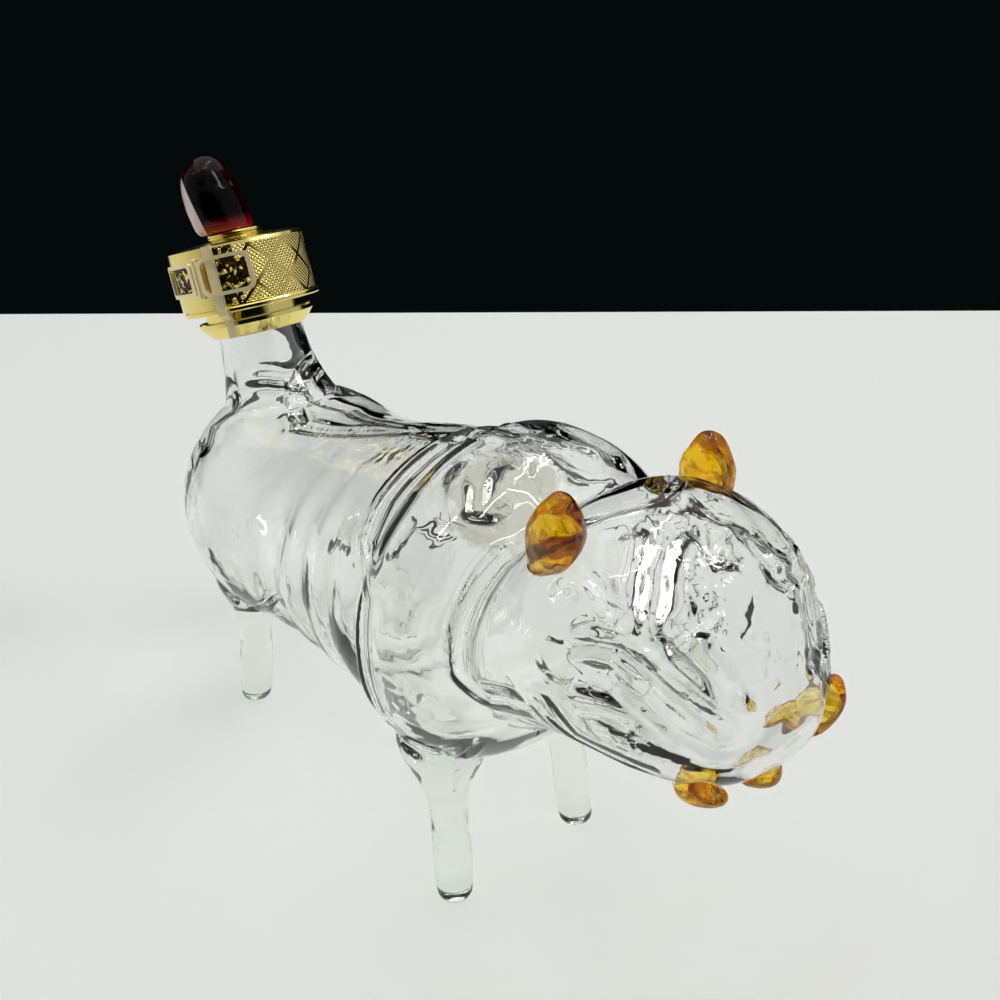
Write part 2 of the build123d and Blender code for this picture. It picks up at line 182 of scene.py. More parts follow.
# Creases: points, depth and width in millimetres, and skin: 1 the outer, -1 the inner, 0 both
CREASES = [
    (MOUTH_POINTS, 2.6, 1.0, 1), (MOUTH_POINTS, 2.0, 3.0, -1),
    (LIP_POINTS, 1.0, 0.8, 1), (LIP_POINTS, 1.2, 1.8, -1),
    (FOLD_POINTS, 1.0, 1.4, 0), (FOLD_POINTS, 1.6, 1.6, -1),
    (BROW_POINTS, 0.35, 2.2, 0),
    (RIDGE_POINTS, 0.7, 0.9, 1), (RIDGE_POINTS, 1.0, 1.6, -1),
    (CHIN_POINTS, 0.6, 1.0, 1), (CHIN_POINTS, 0.7, 1.8, -1),
    (CHEEK_POINTS, 0.8, 0.9, 1), (CHEEK_POINTS, 0.8, 1.2, -1),
    (SNOUT_POINTS, 0.5, 0.9, 1), (SNOUT_POINTS, 0.4, 1.4, -1),
    (NOSE_POINTS, 0.9, 1.0, 1), (NOSE_POINTS, 1.0, 1.6, -1),
    (DIMPLE_POINTS, 0.5, 0.9, 1), (DIMPLE_POINTS, 0.7, 1.5, -1),
    (FRONT_JOIN_POINTS, 1.6, 0.8, 1), (REAR_JOIN_POINTS, 1.4, 0.8, 1),
]

# How far from its line a crease reaches, the swelling beside it as a share of its depth, and how many
# widths away. The least steps from point to point, in which its ends fade too, and the steps' spacing.
CREASE_REACH = 5.0
SWELL_SHARE = 0.35
SWELL_PLACE = 2.1
CREASE_STEPS = 12
CREASE_SPACING = 0.5

# Thicker glass, where only the inner skin sinks: points of the photograph, depth and width in millimetres
THICK_RUNS = [
    ([(692, 494), (722, 507), (760, 524), (795, 556), (812, 600), (820, 650)], 3.0, 2.6),
    ([(676, 520), (700, 530), (726, 548), (752, 572)], 2.4, 1.8),
    ([(200, 455), (208, 425), (222, 402), (236, 390)], 2.6, 2.4),
    ([(216, 386), (240, 379), (268, 377), (296, 380), (318, 388)], 1.5, 1.5),
    ([(300, 378), (350, 408), (420, 428), (480, 432)], 2.0, 1.6),
    ([(560, 428), (590, 436), (612, 448), (622, 468)], 2.8, 2.4),
    ([(570, 520), (620, 500), (670, 490)], 2.4, 2.0),
]

# Waves of the inner skin alone: a share of them up to a place along the animal, and full after the stretch
# in which they grow towards its head. A line out of the inner skin crosses the hollow and meets glass
# again: how far off the skin it starts, and how many voxels it has to run at least.
INNER_WAVE = (8.5, 0.17, 33.0)
INNER_WAVE_START = 10.0
INNER_WAVE_FADE = 30.0
INNER_WAVE_LEAST = 0.25
INNER_START = 0.3
INNER_VOXELS = 4

# Fine wrinkles, and pinches of the hot glass: a point of the photograph, reach and height in millimetres.
# Both reach and fade by shares of their reach.
WRINKLES = [
    ((625, 505), 6, 0.05), ((650, 530), 6, 0.05), ((672, 555), 6, 0.05), ((690, 585), 6, 0.05),
    ((730, 545), 6, 0.08), ((755, 565), 6, 0.08), ((700, 500), 7, 0.06),
    ((715, 615), 6, 0.10), ((770, 640), 5, 0.10), ((775, 680), 5, 0.10), ((640, 745), 8, 0.11),
    ((520, 455), 7, 0.07), ((400, 445), 9, 0.10), ((355, 430), 8, 0.12),
    ((300, 400), 6, 0.06), ((250, 470), 7, 0.06), ((235, 530), 7, 0.06), ((400, 740), 8, 0.10),
]
WRINKLE_LENGTH = 2.4
WRINKLE_SEED = 21.0
WRINKLE_SHARPNESS = 3.2
PUCKER_REACH = 1.6
PUCKER_SPREAD = 0.7
PINCHES = [
    ((744, 702), 3.0, -0.7), ((651, 690), 2.6, -1.2), ((642, 748), 3.0, -0.5), ((700, 640), 2.8, -0.4),
    ((612, 690), 2.0, -0.8), ((560, 590), 2.6, 0.8), ((440, 752), 2.2, -0.9), ((595, 770), 2.0, -0.4),
]

# Screw threads: pitch, height, width, turns, how far up from the cap's rim they start, steps in a turn, and
# their outline as shares of the width. How deep their edges and root lie in the wall, how fast they swell
# at the ends, the radii of the sleeve and the liner that carry them, and the mouth's height over the rim.
THREAD_PITCH = 3.2
THREAD_HEIGHT = 0.20
THREAD_WIDTH = 1.1
THREAD_TURNS = 2.4
THREAD_START = 0.9
THREAD_STEPS = 60
THREAD_PROFILE = (-0.5, -0.28, 0.0, 0.28, 0.5)
THREAD_SINK = 0.05
THREAD_ROOT = 0.3
THREAD_RUN_IN = 8
SLEEVE_RADIUS = 14.5
LINER_RADIUS = 14.85
MOUTH_RISE = 12.03

# The finial's pale lobe lies beyond a slanting plane through a point of the photograph, and its pale pink is
# painted light of the table seen through the glass. Its foot is red up to a height along the neck's line. Its
# leaning side is drawn in by a share of what stands past the middle of the band at its foot.
LOBE_SIDE = (-0.412, -0.842, -0.352)
LOBE_PIXEL = (196, 212)
FOOT_HIGH = 168.5
FOOT_FADE = 5.0
FOOT_COLOUR = (0.30, 0.004, 0.006, 1)
LOBE_REFRACTED_LIGHT = (0.95, 0.72, 0.72, 1)
LOBE_CLEAR = 0.15
LOBE_EDGE = 0.5
FINIAL_ROUGHNESS = 0.05
FINIAL_TUCK = 0.14
TUCK_BAND = 3.0

# The legs, the amber pieces, and the nodes whose look isn't their slot's own
LEGS = ["leg_front_left", "leg_front_right", "leg_rear_left", "leg_rear_right"]
AMBER = ["ear_left", "ear_right", "tusk_left", "tusk_right", "lip_nub"]
LOOKS = {"cap_shell": "engraved_gilt", "strap_plate": "strap_gilt", "buckle_frame": "pale_gilt",
         "keeper_frame": "pale_gilt", "hasp_strip": "pale_gilt", "buckle_pin": "pale_gilt"}

# The painted reflection on the shoulder, a grey patch: its middle in the photograph, reach, raggedness and
# edge in millimetres, the scale of its ragged noise, and its colour
PATCH_PIXEL = (500, 492)
PATCH_REACH = 12.5
PATCH_RAG = 16.0
PATCH_EDGE = 0.5
PATCH_SCALE = 110.0
REFLECTION_PATCH_COLOUR = (0.72, 0.71, 0.64, 1)

# Glass: refraction index, scale of its ripple, and for each kind its base colour, the tint of lamps' light
# let through, height of its ripple in millimetres, the colour that thick glass takes and how densely, and
# refraction index
GLASS_INDEX = 1.5
GLASS_GRAIN = 90.0
CLEAR_GLASS = ((0.985, 0.99, 0.985, 1), (0.87, 0.88, 0.88, 1), 0.02, (0.72, 0.82, 0.66, 1), 14.0, GLASS_INDEX)
AMBER_GLASS = ((1.0, 0.95, 0.80, 1), (0.95, 0.72, 0.25, 1), 0.05, (0.985, 0.880, 0.0, 1), 420.0, 1.40)
GARNET_GLASS = ((1.0, 0.35, 0.35, 1), (0.30, 0.02, 0.04, 1), 0.02, (0.45, 0.0, 0.0, 1), 700.0, 1.22)

# Cloudy caramel streaks in the amber
CARAMEL = (0.50, 0.17, 0.008, 1)
STREAK_ROUGHNESS = 0.08
STREAK_SCALE = 230.0
STREAK_TWIST = 1.6
STREAK_START = 0.50
STREAK_FADE = 0.12
STREAK_SHARE = 0.55

# Plain solid materials: colour, roughness, share of metal, and the scale and height of the grain
GOLD = (0.95, 0.79, 0.27, 1)
# Painted shadow and reflection of the frames, laid on the grounds under the clasp
FRAME_SHADOW_COLOUR = (0.030, 0.018, 0.008, 1)
SOLIDS = {
    "gilt_metal": (GOLD, 0.12, 1.0, 900.0, 0.01),
    "pale_gilt": ((1.0, 0.86, 0.50, 1), 0.30, 0.45, 900.0, 0.02),
    "plain_brass": ((0.75, 0.56, 0.28, 1), 0.3, 1.0, 700.0, 0.01),
    "cement": ((0.80, 0.78, 0.72, 1), 0.9, 0.0, 1500.0, 0.03),
    "liner_plastic": ((0.88, 0.86, 0.80, 1), 0.45, 0.0, 500.0, 0.01),
    "seal_cork": ((0.62, 0.42, 0.24, 1), 0.85, 0.0, 1200.0, 0.08),
}
PLAIN_MIRROR = 0.5
DRUM_ROUGHNESS = 0.16
STRAP_ROUGHNESS = 0.22
COARSE_DETAIL = 2.0
FINE_DETAIL = 3.0


# Nodes of a material

def new_material(name):
    material = bpy.data.materials.new(name)
    material.use_nodes = True
    material.node_tree.nodes.clear()
    return material, material.node_tree.nodes, material.node_tree.links


def principled(nodes, colour, roughness, metallic=0.0, transmission=0.0, index=GLASS_INDEX):
    shader = nodes.new("ShaderNodeBsdfPrincipled")
    shader.inputs["Base Color"].default_value = colour
    shader.inputs["Roughness"].default_value = roughness
    shader.inputs["Metallic"].default_value = metallic
    shader.inputs["Transmission Weight"].default_value = transmission
    shader.inputs["IOR"].default_value = index
    return shader


def show(nodes, links, surface):
    out = nodes.new("ShaderNodeOutputMaterial")
    links.new(surface, out.inputs["Surface"])
    return out


# A maths node, with sockets or numbers as what it works on
def maths(nodes, links, operation, *values):
    node = nodes.new("ShaderNodeMath")
    node.operation = operation
    for socket, value in zip(node.inputs, values):
        if isinstance(value, (int, float)):
            socket.default_value = value
        else:
            links.new(value, socket)
    return node.outputs[0]


def noise_pattern(nodes, links, scale, detail=FINE_DETAIL, twist=0.0):
    place = nodes.new("ShaderNodeTexCoord")
    pattern = nodes.new("ShaderNodeTexNoise")
    pattern.inputs["Scale"].default_value = scale
    pattern.inputs["Detail"].default_value = detail
    pattern.inputs["Distortion"].default_value = twist
    links.new(place.outputs["Object"], pattern.inputs["Vector"])
    return pattern.outputs["Fac"]


# Nought at the start and one at the end
def ramp(nodes, links, value, start, end, interpolation="LINEAR"):
    node = nodes.new("ShaderNodeMapRange")
    node.interpolation_type = interpolation
    node.inputs["From Min"].default_value = start
    node.inputs["From Max"].default_value = end
    links.new(value, node.inputs["Value"])
    return node.outputs["Result"]


# Two colours, or sockets that give them, mixed by a share of the second
def mixed_colour(nodes, links, share, first, second):
    mix = nodes.new("ShaderNodeMix")
    mix.data_type = "RGBA"
    links.new(share, mix.inputs["Factor"])
    sockets = [socket for socket in mix.inputs if socket.type == "RGBA"]
    for socket, colour in zip(sockets, (first, second)):
        if isinstance(colour, tuple):
            socket.default_value = colour
        else:
            links.new(colour, socket)
    return next(socket for socket in mix.outputs if socket.type == "RGBA")


def laid_over(nodes, links, under, over, share):
    layer = nodes.new("ShaderNodeMixShader")
    links.new(share, layer.inputs["Fac"])
    links.new(under, layer.inputs[1])
    links.new(over, layer.inputs[2])
    return layer.outputs["Shader"]


# How far places lie along a direction, or from a spot
def measured(nodes, links, operation, vector, output="Object"):
    place = nodes.new("ShaderNodeTexCoord")
    node = nodes.new("ShaderNodeVectorMath")
    node.operation = operation
    node.inputs[1].default_value = vector
    links.new(place.outputs[output], node.inputs[0])
    return node.outputs["Value"]


# Nought to one across a plane: a direction, and where along it the change starts and ends
def mask_along(nodes, links, direction, start, end):
    along = measured(nodes, links, "DOT_PRODUCT", direction)
    return ramp(nodes, links, along, start * MM, end * MM, "SMOOTHSTEP")


def add_bump(nodes, links, shader, height, distance):
    bump = nodes.new("ShaderNodeBump")
    bump.inputs["Strength"].default_value = 1.0
    bump.inputs["Distance"].default_value = distance * MM
    links.new(height, bump.inputs["Height"])
    links.new(bump.outputs["Normal"], shader.inputs["Normal"])


# Materials

# Glass lets light from lamps through, tinted, so that it casts a pale shadow.
# The socket it returns last takes what is laid over the glass.
def glass_material(name, colour, lamp_colour, ripple, absorb, density, index):
    material, nodes, links = new_material(name)
    shader = principled(nodes, colour, 0.0, transmission=1.0, index=index)
    add_bump(nodes, links, shader, noise_pattern(nodes, links, GLASS_GRAIN, COARSE_DETAIL), ripple)
    clear = nodes.new("ShaderNodeBsdfTransparent")
    clear.inputs["Color"].default_value = lamp_colour
    path = nodes.new("ShaderNodeLightPath")
    mix = nodes.new("ShaderNodeMixShader")
    links.new(path.outputs["Is Shadow Ray"], mix.inputs["Fac"])
    links.new(shader.outputs["BSDF"], mix.inputs[1])
    links.new(clear.outputs["BSDF"], mix.inputs[2])
    volume = nodes.new("ShaderNodeVolumeAbsorption")
    volume.inputs["Color"].default_value = absorb
    volume.inputs["Density"].default_value = density
    out = show(nodes, links, mix.outputs["Shader"])
    links.new(volume.outputs["Volume"], out.inputs["Volume"])
    return material, shader, mix.inputs[1]


# Clear glass, faintly green where it is thick, with one grey patch of painted reflection on the shoulder
def clear_material(name):
    material, glass, _ = glass_material(name, *CLEAR_GLASS)
    nodes, links = material.node_tree.nodes, material.node_tree.links
    spot, _ = on_glass(node_tree_of("glass_body"), PATCH_PIXEL)
    away = measured(nodes, links, "DISTANCE", spot)
    ragged = noise_pattern(nodes, links, PATCH_SCALE)
    rough = maths(nodes, links, "MULTIPLY_ADD", ragged, PATCH_RAG * MM, away)
    edge = PATCH_REACH + PATCH_RAG / 2
    share = ramp(nodes, links, rough, edge * MM, (edge - PATCH_EDGE) * MM)
    # Painted reflection: a grey patch in the glass's colour on the shoulder
    links.new(mixed_colour(nodes, links, share, CLEAR_GLASS[0], REFLECTION_PATCH_COLOUR), glass.inputs["Base Color"])
    return material


# Golden amber glass with cloudy caramel streaks
def amber_material(name):
    material, glass, skin = glass_material(name, *AMBER_GLASS)
    nodes, links = material.node_tree.nodes, material.node_tree.links
    streak = principled(nodes, CARAMEL, STREAK_ROUGHNESS)
    pattern = noise_pattern(nodes, links, STREAK_SCALE, twist=STREAK_TWIST)
    streaks = ramp(nodes, links, pattern, STREAK_START, STREAK_START + STREAK_FADE)
    share = maths(nodes, links, "MULTIPLY", streaks, STREAK_SHARE)
    links.new(laid_over(nodes, links, glass.outputs["BSDF"], streak.outputs["BSDF"], share), skin)
    return material


def cap_joint():
    joints = frame["record"]["behaviour"]["joints"]
    return next(joint for joint in joints if joint["name"] == "cap_turn")


# Dark garnet glass with a red foot, and on its leaning side a pale lobe painted with the table's light seen
# through it
def garnet_material(name):
    material, glass, skin = glass_material(name, *GARNET_GLASS)
    nodes, links = material.node_tree.nodes, material.node_tree.links
    spot, _ = on_glass(node_tree_of("finial"), LOBE_PIXEL)
    start = Vector(LOBE_SIDE).dot(spot) / MM
    foot = principled(nodes, FOOT_COLOUR, FINIAL_ROUGHNESS)
    # Painted light: the table's light seen through the lobe, as a pale pink colour
    lobe_light = principled(nodes, LOBE_REFRACTED_LIGHT, FINIAL_ROUGHNESS, transmission=LOBE_CLEAR)
    layers = glass.outputs["BSDF"]
    foot_mask = mask_along(nodes, links, cap_joint()["axis"], FOOT_HIGH + FOOT_FADE, FOOT_HIGH)
    lobe_light_mask = mask_along(nodes, links, LOBE_SIDE, start, start + LOBE_EDGE)
    for shader, mask in ((foot, foot_mask), (lobe_light, lobe_light_mask)):
        layers = laid_over(nodes, links, layers, shader.outputs["BSDF"], mask)
    links.new(layers, skin)
    return material


def solid_material(name, colour, roughness, metallic, scale, depth, mirror=PLAIN_MIRROR):
    material, nodes, links = new_material(name)
    shader = principled(nodes, colour, roughness, metallic)
    shader.inputs["Specular IOR Level"].default_value = mirror
    add_bump(nodes, links, shader, noise_pattern(nodes, links, scale, COARSE_DETAIL), depth)
    show(nodes, links, shader.outputs["BSDF"])
    return material


# Places round and up the cap's drum: the distance round it and the height up the neck's line
def drum_places(nodes, links):
    joint = cap_joint()
    place = nodes.new("ShaderNodeTexCoord")
    mapping = nodes.new("ShaderNodeMapping")
    mapping.vector_type = "TEXTURE"
    mapping.inputs["Location"].default_value = joint["pos_m"]
    mapping.inputs["Rotation"].default_value = (0, math.asin(joint["axis"][0]), 0)
    links.new(place.outputs["Object"], mapping.inputs["Vector"])
    parts = nodes.new("ShaderNodeSeparateXYZ")
    links.new(mapping.outputs["Vector"], parts.inputs["Vector"])
    turn = maths(nodes, links, "ARCTAN2", parts.outputs["Y"], parts.outputs["X"])
    return maths(nodes, links, "MULTIPLY", turn, DRUM_RADIUS * MM), parts.outputs["Z"]


def round_drum(degrees):
    return math.radians(degrees) * DRUM_RADIUS


def between(work, value, least, most):
    above = work("GREATER_THAN", value, least * MM)
    return work("MULTIPLY", above, work("LESS_THAN", value, most * MM))


# One within any of the grounds and nought outside them
def shadow_ground_mask(work, around, up, grounds):
    masks = []
    for start, end, low, high in grounds:
        wide = between(work, around, round_drum(start), round_drum(end))
        masks.append(work("MULTIPLY", wide, between(work, up, low, high)))
    whole = masks[0]
    for mask in masks[1:]:
        whole = work("MAXIMUM", whole, mask)
    return whole


# A ground darkened by painted shadow and reflection of the frames, with flecks of gilt, where the mask is
# one: its colour and its relief
def frame_shadow_ground(nodes, links, mask, colour):
    pattern = noise_pattern(nodes, links, SHADOW_GROUND_SCALE)
    fleck = maths(nodes, links, "LESS_THAN", pattern, SHADOW_FLECK_SHARE)
    share = maths(nodes, links, "MULTIPLY", fleck, mask)
    relief = maths(nodes, links, "MULTIPLY", pattern, mask)
    return mixed_colour(nodes, links, share, colour, FRAME_SHADOW_COLOUR), relief


# Gilt with the chased ground of the keeper's window, darkened by painted shadow and reflection of the frame
def strap_material(name, colour, roughness):
    material, nodes, links = new_material(name)
    shader = principled(nodes, colour, roughness, 1.0)
    around, up = drum_places(nodes, links)
    mask = shadow_ground_mask(partial(maths, nodes, links), around, up, [KEEPER_SHADOW_GROUND])
    shown, relief = frame_shadow_ground(nodes, links, mask, colour)
    links.new(shown, shader.inputs["Base Color"])
    add_bump(nodes, links, shader, relief, GROUND_DEPTH)
    show(nodes, links, shader.outputs["BSDF"])
    return material


# Heights of fine lines crossing, stronger one way in every other diamond, with plain edges to the diamonds
def hatching(work, around, up):
    lines, cells, edges = [], [], []
    for operation in ("ADD", "SUBTRACT"):
        along = work(operation, around, up)
        lines.append(work("SINE", work("MULTIPLY", along, 2 * math.pi / (HATCH_PITCH * MM))))
        cell = work("DIVIDE", along, DIAMOND_PITCH * MM)
        cells.append(work("FLOOR", cell))
        edges.append(work("LESS_THAN", work("PINGPONG", cell, 1 / 2), DIAMOND_EDGE_SHARE))
    odd = work("MULTIPLY", work("FRACT", work("MULTIPLY", work("ADD", *cells), 1 / 2)), 2)
    strengths = [work("MULTIPLY_ADD", share, 1 - HATCH_CROSS, HATCH_CROSS)
                 for share in (odd, work("SUBTRACT", 1, odd))]
    hatch = work("ADD", *(work("MULTIPLY", line, share) for line, share in zip(lines, strengths)))
    return work("MULTIPLY", hatch, work("SUBTRACT", 1, work("MAXIMUM", *edges)))


# Gilt with crossing lines whose grooves carry painted shade, darkest beside the buckle, and with the chased
# grounds under the clasp darkened by painted shadow and reflection of the frames
def engraved_material(name, colour, roughness):
    material, nodes, links = new_material(name)
    work = partial(maths, nodes, links)
    shader = principled(nodes, colour, roughness, 1.0)
    around, up = drum_places(nodes, links)
    within = between(work, up, HATCH_LOW, HATCH_HIGH)
    height = work("MULTIPLY", hatching(work, around, up), within)
    # The grounds under the clasp take painted shadow and reflection of the frames
    mask = shadow_ground_mask(work, around, up, [BUCKLE_SHADOW_GROUND, STRAP_SHADOW_GROUND])
    outside = work("SUBTRACT", 1, mask)
    shown, relief = frame_shadow_ground(nodes, links, mask, colour)
    # Painted shade: the grooves' colour darkens the hatching's hollows, most of all beside the buckle
    dark, light = (round_drum(degrees) * MM for degrees in GROOVE_SHADE_PLACES)
    share = work("MULTIPLY_ADD", ramp(nodes, links, around, light, dark), GROOVE_SHADE_SHARE, GROOVE_SHADE_SHARE)
    groove_shade = work("MULTIPLY_ADD", height, -GROOVE_SHADE_SLOPE, 1 / 2)
    groove_shade = work("MAXIMUM", work("MULTIPLY", groove_shade, share), 0.0)
    groove_shade = work("MULTIPLY", groove_shade, work("MULTIPLY", within, outside))
    links.new(mixed_colour(nodes, links, groove_shade, shown, GROOVE_SHADE_COLOUR), shader.inputs["Base Color"])
    chased = work("MULTIPLY", relief, GROUND_RISE)
    add_bump(nodes, links, shader, work("ADD", work("MULTIPLY", height, outside), chased), HATCH_DEPTH)
    show(nodes, links, shader.outputs["BSDF"])
    return material


def make_materials():
    materials = {name: solid_material(name, *values) for name, values in SOLIDS.items()}
    materials["clear_glass"] = clear_material("clear_glass")
    materials["amber_glass"] = amber_material("amber_glass")
    materials["garnet_glass"] = garnet_material("garnet_glass")
    materials["engraved_gilt"] = engraved_material("engraved_gilt", GOLD, DRUM_ROUGHNESS)
    materials["strap_gilt"] = strap_material("strap_gilt", GOLD, STRAP_ROUGHNESS)
    return materials


# Meshes

# One mesh from nodes of the frame, in their places, with each point there once
def joined(names):
    mesh = bmesh.new()
    for name in names:
        mesh.from_mesh(frame["nodes"][name].data)
    bmesh.ops.remove_doubles(mesh, verts=mesh.verts, dist=WELD * MM)
    return mesh


def as_object(mesh, name):
    data = bpy.data.meshes.new(name)
    mesh.to_mesh(data)
    mesh.free()
    thing = bpy.data.objects.new(name, data)
    bpy.context.scene.collection.objects.link(thing)
    return thing


def apply_modifiers(thing):
    seen = thing.evaluated_get(bpy.context.evaluated_depsgraph_get())
    data = bpy.data.meshes.new_from_object(seen)
    thing.modifiers.clear()
    thing.data = data


def remesh(thing, voxel, passes):
    grow = thing.modifiers.new("voxels", "REMESH")
    grow.mode = "VOXEL"
    grow.voxel_size = voxel * MM
    grow.use_smooth_shade = True
    calm = thing.modifiers.new("calm", "SMOOTH")
    calm.factor = SMOOTH_FACTOR
    calm.iterations = passes
    bpy.context.view_layer.update()
    apply_modifiers(thing)


def points_of(thing):
    flat = np.zeros(len(thing.data.vertices) * 3)
    thing.data.vertices.foreach_get("co", flat)
    return flat.reshape(-1, 3)


def normals_of(thing):
    flat = np.zeros(len(thing.data.vertices) * 3, np.float32)
    thing.data.vertex_normals.foreach_get("vector", flat)
    return flat.reshape(-1, 3)


def set_points(thing, points):
    thing.data.vertices.foreach_set("co", points.astype(np.float32).ravel())
    thing.data.update()


# Heights of smooth waves at places, as hand-blown glass has them
def waves(points, length, height, seed):
    scale = 1 / (length * MM)
    shift = Vector([step * seed for step in SEED_STEPS])
    return np.array([noise.noise(Vector(p) * scale + shift) for p in points]) * height * MM


def finish_piece(thing, body, nodes, slot, materials):
    thing.data.materials.clear()
    thing.data.materials.append(materials[slot])
    for face in thing.data.polygons:
        face.use_smooth = True
    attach(thing, body)
    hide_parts(*nodes)


# The tops of the legs sink into the wall, so that no film of air is left between them
def melted_legs(names):
    wall = joined(["glass_body"])
    tree = BVHTree.FromBMesh(wall)
    legs = joined(names)
    for vert in legs.verts:
        _, normal, _, gap = tree.find_nearest(vert.co)
        if gap < LEG_TOUCH * MM:
            vert.co -= normal * LEG_MELT * MM
    wall.free()
    return legs


def node_tree_of(name):
    mesh = joined([name])
    tree = BVHTree.FromBMesh(mesh)
    mesh.free()
    return tree


# The camera's ways ahead and to the right, along the table
def level_axes():
    azimuth = math.radians(CAMERA_AZIMUTH)
    return (Vector((-math.sin(azimuth), math.cos(azimuth), 0)),
            Vector((math.cos(azimuth), math.sin(azimuth), 0)))


# The camera's ways to its right, up and back
def camera_axes():
    azimuth = math.radians(CAMERA_AZIMUTH)
    down = math.radians(CAMERA_DOWN)
    roll = math.radians(CAMERA_ROLL)
    back = Vector((math.sin(azimuth) * math.cos(down), -math.cos(azimuth) * math.cos(down), math.sin(down)))
    _, right = level_axes()
    up = back.cross(right)
    tilted = right * math.cos(roll) + up * math.sin(roll)
    return tilted, back.cross(tilted), back


# Where a point of the photograph lies on the glass, and which way the glass faces there
def on_glass(tree, pixel):
    right, up, back = camera_axes()
    focal = CAMERA_LENS / SENSOR * PHOTO_SIDE
    across = (pixel[0] - PHOTO_SIDE / 2) / focal
    above = (PHOTO_SIDE / 2 - pixel[1]) / focal
    spot, normal, _, _ = tree.ray_cast(Vector(CAMERA_PLACE) * MM, right * across + up * above - back)
    return spot, normal


# A smooth run of places and facings through the points of a crease
def crease_run(tree, pixels):
    hits = [hit for hit in (on_glass(tree, pixel) for pixel in pixels) if hit[0] is not None]
    spots, facings = [], []
    for (start, start_facing), (end, end_facing) in zip(hits, hits[1:]):
        steps = max(CREASE_STEPS, int((end - start).length / (CREASE_SPACING * MM)))
        for step in range(steps):
            share = step / steps
            spots.append(start.lerp(end, share))
            facings.append(start_facing.lerp(end_facing, share).normalized())
    return np.array(spots), np.array(facings)


# The glass sinks along a crease and swells a little beside it, on one skin of the wall or on both
def carve(points, run, depth, width, normals, skin):
    spots, facings = run
    ends = np.minimum(np.arange(len(spots)), np.arange(len(spots))[::-1]) / CREASE_STEPS
    fade = np.clip(ends, 0, 1)
    low = spots.min(0) - CREASE_REACH * MM
    high = spots.max(0) + CREASE_REACH * MM
    near = np.where(((points > low) & (points < high)).all(1))[0]
    away = points[near][:, None, :] - spots[None, :, :]
    nearest = (away ** 2).sum(2).argmin(1)
    offset = away[np.arange(len(near)), nearest]
    facing = facings[nearest]
    through = (offset * facing).sum(1)
    aside = np.linalg.norm(offset - through[:, None] * facing, axis=1) / (width * MM)
    amount = -np.exp(-aside ** 2) + SWELL_SHARE * np.exp(-(aside - SWELL_PLACE) ** 2)
    amount = amount * depth * MM * fade[nearest] * (np.abs(through) < CREASE_REACH * MM)
    if skin:
        amount = amount * ((normals[near] * facing).sum(1) * skin > 0)
    points[near] += facing * amount[:, None]


# Ridged wrinkles, or one smooth pinch, round the places that the spots name and on the other side of
# the animal
def pucker(points, facings, tree, spots, ridged):
    push = np.zeros(len(points))
    for pixel, reach, height in spots:
        centre, _ = on_glass(tree, pixel)
        if centre is None:
            continue
        for flip in ((1, 1, 1), (1, -1, 1)):
            away = np.linalg.norm(points - np.array(centre) * flip, axis=1) / (reach * MM)
            near = np.where(away < PUCKER_REACH)[0]
            fade = np.exp(-(away[near] / PUCKER_SPREAD) ** 2) * height * MM
            if ridged:
                shape = waves(points[near], WRINKLE_LENGTH, 1.0, WRINKLE_SEED + reach) / MM
                fade *= 1.0 - WRINKLE_SHARPNESS * np.abs(shape)
            push[near] += fade
    return points + facings * push[:, None]


# One on the inner skin and nought on the outer: a line out of the inner skin meets glass again
def inner_share(tree, points, facing):
    start = INNER_START * MM
    found = np.zeros(len(points))
    for place, (point, normal) in enumerate(zip(points, facing)):
        out = Vector(normal)
        hit = tree.ray_cast(Vector(point) + out * start, out)
        found[place] = hit[0] is not None and hit[3] > GLASS_VOXEL * INNER_VOXELS * MM
    return found


def mirrored(run):
    flip = np.array((1, -1, 1))
    return run[0] * flip, run[1] * flip


# The hollow body and its legs, as one piece of fused glass
def fused_body():
    mesh = joined(["glass_body"])
    legs = melted_legs(LEGS)
    spare = bpy.data.meshes.new("legs")
    legs.to_mesh(spare)
    legs.free()
    mesh.from_mesh(spare)
    thing = as_object(mesh, "blown_glass")
    remesh(thing, GLASS_VOXEL, GLASS_PASSES)
    return thing


# The creases of both sides, and the thicker glass, whose inner skin alone sinks
def carve_creases(points, tree, facing):
    for pixels, depth, width, skin in CREASES + [row + (-1,) for row in THICK_RUNS]:
        run = crease_run(tree, pixels)
        carve(points, run, depth, width, facing, skin)
        carve(points, mirrored(run), depth, width, facing, skin)


# How far the waves of the inner skin push each point
def inner_sway(points, tree, facing):
    inner = inner_share(tree, points, facing)
    head = np.clip((points[:, 0] / MM - INNER_WAVE_START) / INNER_WAVE_FADE, INNER_WAVE_LEAST, 1)
    return waves(points, *INNER_WAVE) * inner * head


# The fused glass with its creases, wrinkles and waves
def blown_glass(materials):
    thing = fused_body()
    points = points_of(thing)
    fused = bmesh.new()
    fused.from_mesh(thing.data)
    tree = BVHTree.FromBMesh(fused)
    fused.free()
    facing = normals_of(thing)
    carve_creases(points, tree, facing)
    points = points + facing * inner_sway(points, tree, facing)[:, None]
    points = pucker(points, normals_of(thing), tree, PINCHES, False)
    points = pucker(points, normals_of(thing), tree, WRINKLES, True)
    push = waves(points, *WAVE) + waves(points, *RIPPLE)
    above = np.clip(points[:, 2] / (CALM_HEIGHT * MM), 0, 1)
    points = points + normals_of(thing) * (push * above)[:, None]
    inset = BOX_INSET * MM
    set_points(thing, np.clip(points, np.array(cad_low) + inset, np.array(cad_high) - inset))
    finish_piece(thing, "bottle", ["glass_body"] + LEGS, "clear_glass", materials)


